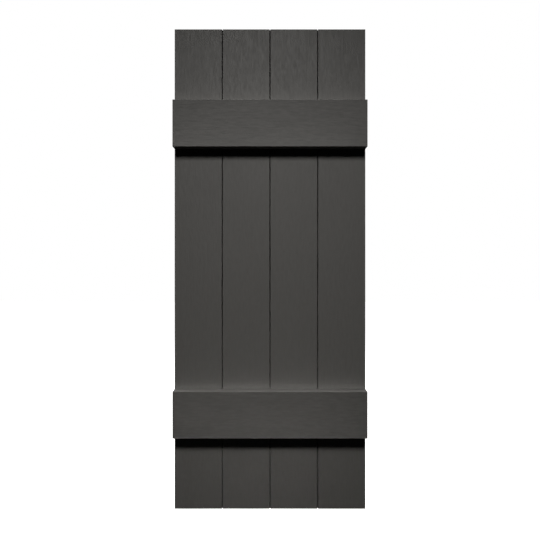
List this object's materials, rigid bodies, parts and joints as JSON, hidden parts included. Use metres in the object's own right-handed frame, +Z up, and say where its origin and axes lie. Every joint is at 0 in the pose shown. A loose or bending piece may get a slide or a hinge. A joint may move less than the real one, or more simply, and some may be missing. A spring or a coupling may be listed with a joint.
{
  "type": "board and batten shutter",
  "caption": "Fixed decorative window shutter: moulded woodgrain boards side by side, crossed by raised battens, with a ribbed open back that stands flat against a wall.",
  "frame": {"origin": "middle of the shutter's back, on the plane that stands against the wall", "axes": "+Z up along the boards, +Y from the face into the wall, +X to the right as seen from the front"},
  "size_m": [0.3536, 0.0444, 0.889],
  "materials": {
    "board_vinyl": "satin moulded woodgrain, warm charcoal grey",
    "batten_vinyl": "satin moulded woodgrain, warm charcoal grey",
    "screw_steel": "zinc plated"
  },
  "bodies": {
    "root": {"left_outer_board": "board_vinyl", "left_inner_board": "board_vinyl", "right_inner_board": "board_vinyl", "right_outer_board": "board_vinyl", "upper_batten": "batten_vinyl", "lower_batten": "batten_vinyl", "upper_batten_screws": "screw_steel", "lower_batten_screws": "screw_steel"}
  },
  "joints": []
}
